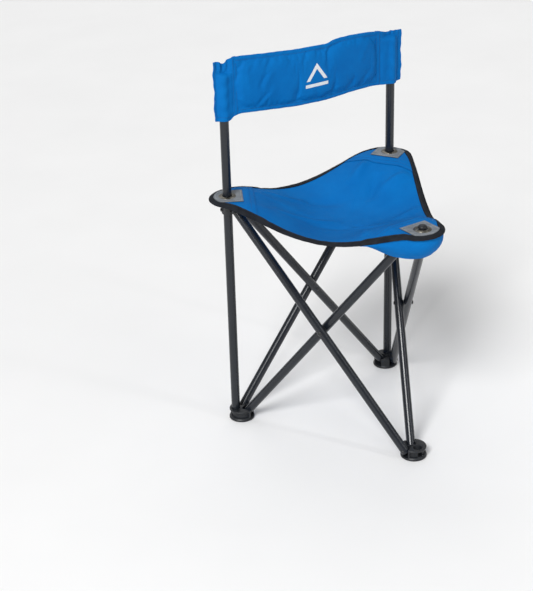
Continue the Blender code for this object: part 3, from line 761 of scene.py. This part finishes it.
def make_patch(corner):
    """Grey webbing square under the grommet, stitched round its edge."""
    outer = -min(PATCH_HALF, LOBE_R - LOBE_IN - 0.0085)
    plan = corner_grid(corner, outer, PATCH_HALF, 0.0088, 30, 30, cap=PATCH_HALF)
    grid, normals = cloth_points(plan, 0.0026)
    obj = sheet_mesh(f"grey_patch_{corner}", grid, normals, 0.0011, WEBBING)
    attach(obj, SLIDER[corner])
    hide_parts(f"{corner}_patch")
    inset = 0.0035
    inner = PATCH_HALF - inset
    plan = corner_grid(corner, outer + inset, inner, 0.0088 + inset, 30, 30, cap=inner)
    rim = np.vstack([plan[0], plan[1:, -1], plan[-1, ::-1][1:], plan[::-1, 0][1:]])
    thread = stitches(f"patch_thread_{corner}", [cloth_points(rim, 0.0033)], GREY_THREAD)
    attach(thread, SLIDER[corner])


def make_grommet(corner):
    """Rolled eyelet: a domed flange above, a washer below and the barrel between."""
    hole, rim = 0.0103, 0.0185
    seat_z = FRONT_Z if corner == "front" else REAR_Z
    top = seat_z + 0.0034
    bottom = seat_z - 0.0022
    profile = [(hole, bottom), (hole, top + 0.0004)]
    for a in np.linspace(180, 40, 7):
        r = hole + 0.0022 + 0.0022 * math.cos(math.radians(a))
        profile.append((r, top + 0.0004 + 0.0016 * math.sin(math.radians(a))))
    profile += [(rim - 0.0018, top + 0.0006), (rim - 0.0004, top + 0.0003), (rim, top - 0.0004)]
    profile += [(rim - 0.0006, top - 0.0006), (hole + 0.0009, top - 0.0006)]
    profile += [(hole + 0.0009, bottom + 0.0006), (rim - 0.0030, bottom + 0.0006)]
    profile += [(rim - 0.0026, bottom), (rim - 0.0032, bottom - 0.0005), (hole + 0.0020, bottom - 0.0008)]
    place = Matrix.Translation(GROMMET[corner])
    obj = turned(f"eyelet_{corner}", profile, NICKEL, 64, place)
    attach(obj, SLIDER[corner])
    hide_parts(f"{corner}_grommet")


def make_pocket():
    """Cloth pouch wrapped round the underside of the front corner, with a hem along its foot."""
    ring = RING[ring_picks("front")]
    tip = np.array((0, -(REACH + LOBE_R - LOBE_IN)))
    away = np.hypot(*(ring - tip).T) / 0.150
    ring = ring[away < 1.0]
    away = away[away < 1.0]
    columns = len(ring)
    rows = 30
    depth = 0.046 * (1 - smooth_step(0.35, 1.0, away)) + 0.004
    edge, _ = cloth_points(ring)
    inward = -unit(np.stack([ring[:, 0], ring[:, 1], np.zeros(columns)], 1))
    grid = np.zeros((rows, columns, 3))
    for i, share in enumerate(np.linspace(0, 1, rows)):
        belly = 0.010 * math.sin(math.pi * min(1.0, share * 1.15))
        tuck = 0.30 * share**1.5 + 0.45 * max(0.0, share - 0.80)
        grid[i] = edge + inward * (0.0055 + depth[:, None] * tuck - belly * 0.6)
        grid[i, :, 2] -= 0.0024 + depth * share
        wave = ripple(edge * (1, 1, 0), 38.0, 31.0) * 0.0022 * share
        grid[i] -= inward * wave[:, None]
    normals = grid_normals(grid)
    outward = np.sign((normals * -inward[None]).sum(-1, keepdims=True))
    obj = sheet_mesh("front_pouch", grid, normals * outward, 0.0010, SEAT_CLOTH)
    hang(obj, "front")
    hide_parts("front_pocket")


# ---------------------------------------------------------------- backrest


def edge_at(line, x):
    """Height of the backrest's top or bottom edge, a little smoothed."""
    xs, zs = np.array(line).T
    return np.mean([np.interp(x + shift, xs, zs) for shift in np.linspace(-0.004, 0.004, 9)], axis=0)


def pad_middle(x):
    """World Y of the middle of the pad."""
    centre, half = (PAD_LEFT + PAD_RIGHT) / 2, (PAD_RIGHT - PAD_LEFT) / 2
    bow = PAD_BOW * np.clip(1 - ((x - centre) / half) ** 2, 0, 1)
    return POST_Y - PAD_SET - bow


# Soft creases of the pad's front, in its own X and Z: start, end, height and half width
CREASES = (
    ((-0.116, 0.792), (-0.140, 0.757), -0.0024, 0.0045),
    ((-0.104, 0.796), (-0.128, 0.752), 0.0014, 0.0060),
    ((-0.112, 0.752), (-0.148, 0.717), -0.0026, 0.0045),
    ((-0.100, 0.758), (-0.138, 0.716), 0.0016, 0.0070),
    ((-0.165, 0.812), (-0.158, 0.760), 0.0012, 0.0060),
    ((-0.020, 0.818), (-0.034, 0.790), -0.0016, 0.0040),
    ((0.012, 0.818), (0.002, 0.792), -0.0016, 0.0040),
    ((0.150, 0.812), (0.118, 0.765), 0.0012, 0.0080),
    ((0.080, 0.716), (0.108, 0.740), -0.0012, 0.0050),
)


def crease_height(x, z):
    total = np.zeros_like(x)
    for (ax, az), (bx, bz), height, width in CREASES:
        run = math.hypot(bx - ax, bz - az)
        ux, uz = (bx - ax) / run, (bz - az) / run
        t = ((x - ax) * ux + (z - az) * uz) / run
        off = (x - ax) * -uz + (z - az) * ux + 0.004 * np.sin(np.pi * t)
        total += height * np.sin(np.pi * np.clip(t, 0, 1)) ** 0.7 * np.exp(-((off / width) ** 2))
    return total


def pad_grid():
    """World X and Z of each point of a pad layer, and its distance in from the stitched border."""
    left = np.linspace(PAD_LEFT - 0.0040, 0, 68)
    right = np.linspace(0, PAD_RIGHT + 0.0040, 60)[1:]
    x = np.concatenate([left, right])
    low, high = edge_at(BOTTOM_EDGE, x), edge_at(TOP_EDGE, x)
    inner = np.linspace(0, 1, 38)
    rows = [low, low + HEM * 0.45, low + HEM * 0.88]
    rows += [low + HEM + (high - low - 2 * HEM) * share for share in inner]
    rows += [high - HEM * 0.88, high - HEM * 0.45, high]
    z = np.stack(rows)
    x = np.broadcast_to(x, z.shape)
    ends = np.minimum(x - PAD_LEFT, PAD_RIGHT - x) - 0.0030
    sides = np.minimum(z - low - HEM, high - HEM - z)
    return x, z, np.minimum(ends, sides)


def pad_faces(rows, columns):
    count = rows * columns
    faces = grid_faces(rows, columns) + grid_faces(rows, columns, count, flip=True)
    faces += [(b, a, a + count, b + count) for a, b in rim_edges(rows, columns)]
    return faces


def settle(obj, held):
    """Fills the pad: its two layers are blown apart while the stitched border stays."""
    group = obj.vertex_groups.new(name="border")
    group.add([int(i) for i in np.flatnonzero(held)], 1.0, "REPLACE")
    cloth = obj.modifiers.new("fill", "CLOTH")
    cloth.settings.vertex_group_mass = "border"
    cloth.settings.quality = 6
    cloth.settings.mass = 0.15
    cloth.settings.air_damping = 2.0
    cloth.settings.tension_stiffness = 14.0
    cloth.settings.compression_stiffness = 14.0
    cloth.settings.shear_stiffness = 5.0
    cloth.settings.bending_stiffness = 0.35
    cloth.settings.shrink_min = -0.035
    cloth.settings.use_pressure = True
    cloth.settings.uniform_pressure_force = 4.0
    cloth.settings.effector_weights.gravity = 0.0
    cloth.collision_settings.use_collision = False
    cloth.point_cache.frame_start = 1
    cloth.point_cache.frame_end = SETTLE_FRAMES
    scene = bpy.context.scene
    for frame_number in range(1, SETTLE_FRAMES + 1):
        scene.frame_set(frame_number)
    graph = bpy.context.evaluated_depsgraph_get()
    settled = np.array([v.co for v in obj.evaluated_get(graph).data.vertices])
    obj.modifiers.remove(cloth)
    scene.frame_set(1)
    start = np.array([v.co for v in obj.data.vertices])
    moved = settled - start
    far = np.linalg.norm(moved, axis=1, keepdims=True)
    moved *= BLOWN_LIMIT * np.tanh(far / BLOWN_LIMIT) / np.maximum(far, 1e-9)
    obj.data.vertices.foreach_set("co", (start + moved).ravel())


def pad_mesh():
    """The filled pad, one subdivision finer, with each face marked by its half."""
    x, z, inside = pad_grid()
    rows, columns = x.shape
    middle = pad_middle(x)
    swell = (PAD_HALF_T - 0.0034) * smooth_step(0, 0.016, inside)
    hem = 0.0012 + 0.0004 * np.clip(-inside / 0.004, 0, 1) * (1 - np.clip(-inside / HEM, 0, 1) ** 4)
    thick = np.where(inside > 0, 0.0012 + swell, hem)
    flat = np.stack([x, middle, z], -1)
    wave = ripple(flat.reshape(-1, 3) * (1, 0, 0.4), 60.0, 5.0).reshape(x.shape)
    wave *= 0.0022 * np.clip(-inside / HEM, 0, 1)
    front = flat + np.stack([0 * x, wave - thick, 0 * x], -1)
    back = flat + np.stack([0 * x, wave + thick, 0 * x], -1)
    faces = pad_faces(rows, columns)
    obj = mesh_from("pad_draft", np.vstack([front.reshape(-1, 3), back.reshape(-1, 3)]), faces, BACK_CLOTH)
    settle(obj, np.tile((inside <= 0.0005).ravel(), 2))
    points = np.array([v.co for v in obj.data.vertices]).reshape(2, rows, columns, 3)
    crease = crease_height(x, z) * smooth_step(0, 0.006, inside)
    points[0, ..., 1] -= crease
    points[1, ..., 1] -= crease * 0.4
    obj.data.vertices.foreach_set("co", points.ravel())
    obj.data.materials.append(BACK_CLOTH)
    for face in obj.data.polygons:
        face.material_index = int(face.center.x > 0)
    finer = obj.modifiers.new("finer", "SUBSURF")
    finer.levels = 1
    finer.render_levels = 1
    graph = bpy.context.evaluated_depsgraph_get()
    mesh = bpy.data.meshes.new_from_object(obj.evaluated_get(graph))
    bpy.data.objects.remove(obj, do_unlink=True)
    return mesh


def hang_pad(obj, side):
    """A half of the pad moves with its sleeve at one end and with the pad's middle at the other."""
    if side == "left":
        ends = (PAD_LEFT + 0.006, POST_Y, 0.76), (-0.05, POST_Y, 0.76)
        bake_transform(obj, "left_frame", "backrest_middle", start=ends[0], end=ends[1])
    else:
        ends = (0.04, POST_Y, 0.76), (PAD_RIGHT - 0.006, POST_Y, 0.76)
        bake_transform(obj, "backrest_middle", "right_backrest_end", start=ends[0], end=ends[1])


def make_pad():
    whole = pad_mesh()
    places = np.array([v.co for v in whole.vertices])
    normals = np.array([v.vector for v in whole.vertex_normals])
    for tag, side in enumerate(("left", "right")):
        faces = [tuple(f.vertices) for f in whole.polygons if f.material_index == tag]
        used = sorted({v for face in faces for v in face})
        index = {v: i for i, v in enumerate(used)}
        faces = [tuple(index[v] for v in face) for face in faces]
        obj = mesh_from(f"pad_{side}_half", places[used], faces, BACK_CLOTH)
        bm = bmesh.new()
        bm.from_mesh(obj.data)
        bmesh.ops.holes_fill(bm, edges=[e for e in bm.edges if e.is_boundary], sides=0)
        bm.to_mesh(obj.data)
        bm.free()
        keep_normals(obj, normals[used])
        hang_pad(obj, side)
        if side == "left":
            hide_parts("backrest_pad")
        for face_side, hand in (("front", -1), ("back", 1)):
            lines = []
            for line, up in ((TOP_EDGE, -HEM), (BOTTOM_EDGE, HEM)):
                ends = (PAD_LEFT + 0.005, 0) if side == "left" else (0, PAD_RIGHT - 0.006)
                x = np.linspace(*ends, 90)
                y = pad_middle(x) + hand * 0.0014
                row = np.stack([x, y, edge_at(line, x) + up], 1)
                lines.append((row, np.tile((0.0, float(hand), 0.0), (len(x), 1))))
            thread = stitches(f"pad_{side}_thread_{face_side}", lines, BLUE_THREAD)
            hang_pad(thread, side)
    return whole


def slack_width(t, reach):
    """Half width of cloth pulled round the post, at distance t from its axis to a seam at reach."""
    touch = SLEEVE_R**2 / reach
    straight = math.sqrt(SLEEVE_R**2 - touch**2) * (reach - t) / (reach - touch)
    circle = np.sqrt(np.clip(SLEEVE_R**2 - t**2, 0, None))
    return np.where(t < touch, circle, np.clip(straight, 0, None))


def sleeve_skin(side, out, z_share):
    """Front and back points of a sleeve at distances out from the post, and heights as shares."""
    hand = -1 if side == "left" else 1
    x = hand * (POST_X + out)
    low, high = edge_at(BOTTOM_EDGE, x), edge_at(TOP_EDGE, x)
    z = low + (high - low) * z_share
    frill = 0.0011 * np.sin(z * 95 + 1.0) + 0.0006 * np.sin(z * 260)
    x = x + hand * frill * smooth_step(FLAP_SEAM - 0.002, FLAP_SEAM + 0.003, out)
    reach = SEAM[side] - SEAM_HALF[side]
    width = np.where(out > 0, slack_width(out, FLAP_SEAM), slack_width(-out, reach))
    lid = np.sqrt(1 - np.clip((z - POST_TOP + 0.003) / 0.0085, 0, 1) ** 2)
    crown = smooth_step(POST_TOP + 0.0035, POST_TOP + 0.0180, z)
    flange = 0.0012 + 0.0008 * smooth_step(reach - 0.002, reach, -out)
    width = np.hypot(width * lid, flange)
    middle = POST_Y - PAD_SET * smooth_step(0.004, reach, -out)
    pucker = 0.0028 * np.sin(out * 470 + 1.3) * np.exp(-((out / 0.015) ** 2))
    where = np.stack([x, z * 0.6, 0 * x + (3.0 if side == "left" else 7.0)], -1)
    loose = ripple(where.reshape(-1, 3), 70.0, 2.0).reshape(x.shape) * 0.0012
    middle = middle + crown * pucker + loose * smooth_step(0.004, 0.012, np.abs(out))
    width = width * (1 + 0.05 * np.sin(z * 240 + out * 90) * (1 - crown))
    return x, middle, width, z


def make_sleeve(side):
    out = np.concatenate(
        [
            np.linspace(-SEAM[side] - SEAM_HALF[side] - 0.0016, -0.0120, 26),
            np.linspace(-0.0112, 0.0112, 22),
            np.linspace(0.0120, FLAP_END[side], 14),
        ]
    )
    shares = np.concatenate([np.linspace(0, 0.72, 26), np.linspace(0.735, 1, 34)])
    rows = []
    for share, skin in [(0.22, SLEEVE_SKIN), (0.0, SLEEVE_SKIN), (0.0, 0.0003)] + [(s, 0.0) for s in shares]:
        x, middle, width, z = sleeve_skin(side, out, share)
        width = np.maximum(width - skin, 0.0002)
        lift = 0.0004 if skin == 0.0003 else (0.0010 if share == 0.0 and skin == 0 else 0.0)
        front = np.stack([x, middle - width, z + lift], 1)
        back = np.stack([x, middle + width, z + lift], 1)
        rows.append(np.vstack([front, back[::-1]]))
    sections = np.array(rows)
    obj = swept(f"sleeve_{side}", sections, BACK_CLOTH)
    body = "left_frame" if side == "left" else "right_backrest_end"
    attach(obj, body)
    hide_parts(f"{side}_sleeve")
    lines = []
    for way in (-1, 1):
        for place in (-SEAM[side] - SEAM_HALF[side], -SEAM[side] + SEAM_HALF[side], FLAP_SEAM + 0.0012):
            lines.append(skin_line(side, np.full(70, place), np.linspace(0.03, 0.985, 70), way))
        inner = np.linspace(-SEAM[side] + SEAM_HALF[side], FLAP_SEAM, 60)
        lines.append(skin_line(side, inner, np.full(60, 0.075), way))
    thread = stitches(f"sleeve_thread_{side}", lines, BLUE_THREAD)
    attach(thread, body)


def skin_line(side, out, shares, way):
    """A line on a sleeve's front (way -1) or back (+1), with the normals there."""
    x, middle, width, z = sleeve_skin(side, out, shares)
    line = np.stack([x, middle + way * (width + 0.0001), z], 1)
    step = 0.0004
    _, middle_b, width_b, _ = sleeve_skin(side, out + step, shares)
    slope = (middle_b - middle + way * (width_b - width)) / step
    hand = -1 if side == "left" else 1
    normals = unit(np.stack([-slope * way * hand, np.ones(len(x)) * way, 0 * x], 1))
    return line, normals


def make_print(whole):
    """Plain white tent and bar on the pad's front, in two halves."""
    tree = BVHTree.FromPolygons([v.co for v in whole.vertices], [tuple(f.vertices) for f in whole.polygons])
    shapes = (
        ((-0.0270, -0.0150), (-0.0180, -0.0150), (0.0, 0.0215), (0.0, 0.0090)),
        ((-0.0290, -0.0290), (0.0, -0.0290), (-0.0290, -0.0220), (0.0, -0.0220)),
    )
    for side, hand in (("left", 1), ("right", -1)):
        for name, (a, b, c, d) in zip(("tent", "bar"), shapes):
            s, t = np.meshgrid(np.linspace(0, 1, 13), np.linspace(0, 1, 19))
            s, t = s[..., None], t[..., None]
            low = np.array(a) * (1 - s) + np.array(b) * s
            high = np.array(c) * (1 - s) + np.array(d) * s
            flat = low * (1 - t) + high * t
            grid = np.zeros((*flat.shape[:2], 3))
            normals = np.zeros_like(grid)
            for i in range(flat.shape[0]):
                for j in range(flat.shape[1]):
                    start = Vector((hand * flat[i, j, 0], POST_Y - 0.2, PRINT_Z + flat[i, j, 1]))
                    hit, normal, _, _ = tree.ray_cast(start, Vector((0, 1, 0)))
                    grid[i, j] = hit - Vector((0, 0.00025, 0))
                    normals[i, j] = normal if normal.y < 0 else -normal
            obj = sheet_mesh(f"print_{name}_{side}", grid, normals, 0.0002, PRINT)
            hang_pad(obj, side)


# ---------------------------------------------------------------- frame


def long_axis(node):
    """A tube's middle, direction and the ends of its run, from its mesh."""
    points = np.array([node.matrix_world @ v.co for v in node.data.vertices])
    centre = (points.max(0) + points.min(0)) / 2
    way = np.linalg.svd(points - points.mean(0), full_matrices=False)[2][0]
    run = (points - centre) @ way
    return Vector(centre), Vector(way), run.min(), run.max()


def make_tube(name):
    """Finer tube for a tube node: round, with its rims turned over."""
    centre, way, low, high = long_axis(NODES[name])
    bore, turn = POST_R - 0.0012, 0.0005
    profile = [(bore, low + turn), (bore + turn, low), (POST_R - turn, low), (POST_R, low + turn)]
    profile += [(POST_R, high - turn), (POST_R - turn, high), (bore + turn, high), (bore, high - turn)]
    place = Matrix.Translation(centre) @ way.to_track_quat("Z", "Y").to_matrix().to_4x4()
    obj = turned(f"fine_{name}", profile, PAINT, 48, place)
    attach(obj, body_of(NODES[name])[0])
    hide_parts(name)


def make_moulding(name, material, radius):
    """Finer copy of a moulded node: its triangles joined into faces and its edges rounded."""
    node = NODES[name]
    bm = bmesh.new()
    bm.from_mesh(node.data)
    bm.transform(node.matrix_world)
    bmesh.ops.remove_doubles(bm, verts=bm.verts, dist=0.00001)
    bmesh.ops.dissolve_limit(bm, angle_limit=math.radians(2), verts=bm.verts, edges=bm.edges)
    sharp = [e for e in bm.edges if e.is_manifold and e.calc_face_angle() > math.radians(38)]
    bmesh.ops.bevel(
        bm, geom=sharp, offset=radius, segments=2, profile=0.5, affect="EDGES", clamp_overlap=True
    )
    mesh = bpy.data.meshes.new(f"fine_{name}")
    bm.to_mesh(mesh)
    bm.free()
    mesh.shade_smooth()
    mesh.set_sharp_from_angle(angle=math.radians(35))
    obj = new_object(f"fine_{name}", mesh, material)
    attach(obj, body_of(node)[0])
    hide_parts(name)


# ---------------------------------------------------------------- light, floor and camera


def add_light(name, place, aim, size, power, color=(1, 1, 1)):
    data = bpy.data.lights.new(name, "AREA")
    data.shape = "RECTANGLE"
    data.size, data.size_y = size
    data.energy = power
    data.color = color
    obj = bpy.data.objects.new(name, data)
    obj.location = place
    obj.rotation_euler = (Vector(aim) - Vector(place)).to_track_quat("-Z", "Y").to_euler()
    bpy.context.scene.collection.objects.link(obj)


def add_sun(name, toward, spread, strength):
    """Even light from the direction toward the sun, softened over an angle in degrees."""
    data = bpy.data.lights.new(name, "SUN")
    data.angle = math.radians(spread)
    data.energy = strength
    obj = bpy.data.objects.new(name, data)
    obj.rotation_euler = Vector(toward).to_track_quat("Z", "Y").to_euler()
    bpy.context.scene.collection.objects.link(obj)


def make_studio():
    scene = bpy.context.scene
    scene.view_settings.view_transform = "Standard"
    world = bpy.data.worlds.new("studio")
    world.use_nodes = True
    sky = world.node_tree.nodes.get("Background") or world.node_tree.nodes.new("ShaderNodeBackground")
    sky.inputs["Color"].default_value = (1.0, 1.0, 1.0, 1)
    sky.inputs["Strength"].default_value = 0.36
    scene.world = world
    bm = bmesh.new()
    bmesh.ops.create_grid(bm, x_segments=1, y_segments=1, size=12)
    mesh = bpy.data.meshes.new("studio_floor")
    bm.to_mesh(mesh)
    bm.free()
    s = Shader("pale_floor")
    speck = s.noise(place_of(s), 3.0, 2.0)
    shade = s.ramp(speck.outputs["Fac"], 0.3, 0.7, (0.86, 0.86, 0.86), (0.88, 0.88, 0.88))
    floor = new_object("studio_floor", mesh, s.finish(shade, 0.85))
    floor.location.z = -0.0005
    add_sun("key", (-0.80, -0.48, 0.88), 22, 2.35)
    add_sun("rear", (0.35, 0.85, 1.0), 50, 0.50)
    add_light("streak_left", (-2.6, -1.5, 1.5), (0, 0, 0.35), (0.16, 2.4), 16)
    add_light("streak_right", (1.3, -2.7, 1.5), (0, 0, 0.35), (0.16, 2.4), 14)


VIEW_PLACE = (-1.7194, -2.2265, 1.6804)
VIEW_TURN = (-33.55, 90 - 25.95, -1.69)  # heading, tilt and roll in degrees
VIEW_LENS = 88.4


def make_camera():
    data = bpy.data.cameras.new("view")
    data.sensor_width = 36.0
    data.lens = VIEW_LENS
    data.clip_end = 60.0
    camera = bpy.data.objects.new("view", data)
    heading, tilt, roll = (math.radians(a) for a in VIEW_TURN)
    turn = Matrix.Rotation(heading, 4, "Z") @ Matrix.Rotation(tilt, 4, "X")
    turn = turn @ Matrix.Rotation(roll, 4, "Z")
    camera.matrix_world = Matrix.Translation(VIEW_PLACE) @ turn
    bpy.context.scene.collection.objects.link(camera)
    bpy.context.scene.camera = camera


# ---------------------------------------------------------------- build


def paint_nodes():
    for name, node in NODES.items():
        if name.endswith(("_tube", "_post")):
            material = PAINT
        elif "rivet" in name:
            material = RIVET
        else:
            material = PLASTIC
        node.data.materials.clear()
        node.data.materials.append(material)


paint_nodes()
make_seat_cloth()
make_binding()
for corner_name in CORNERS:
    make_corner_layer(corner_name)
    make_patch(corner_name)
    make_grommet(corner_name)
make_pocket()
make_print(make_pad())
for post_side in ("left", "right"):
    make_sleeve(post_side)
for node_name in NODES:
    if node_name.endswith(("_tube", "_post")):
        make_tube(node_name)
    elif "rivet" in node_name or "washer" in node_name:
        make_moulding(node_name, RIVET, 0.0003)
    elif node_name.endswith(("_foot", "_collar", "_hub", "_cap")):
        make_moulding(node_name, PLASTIC, 0.0007)
make_studio()
make_camera()
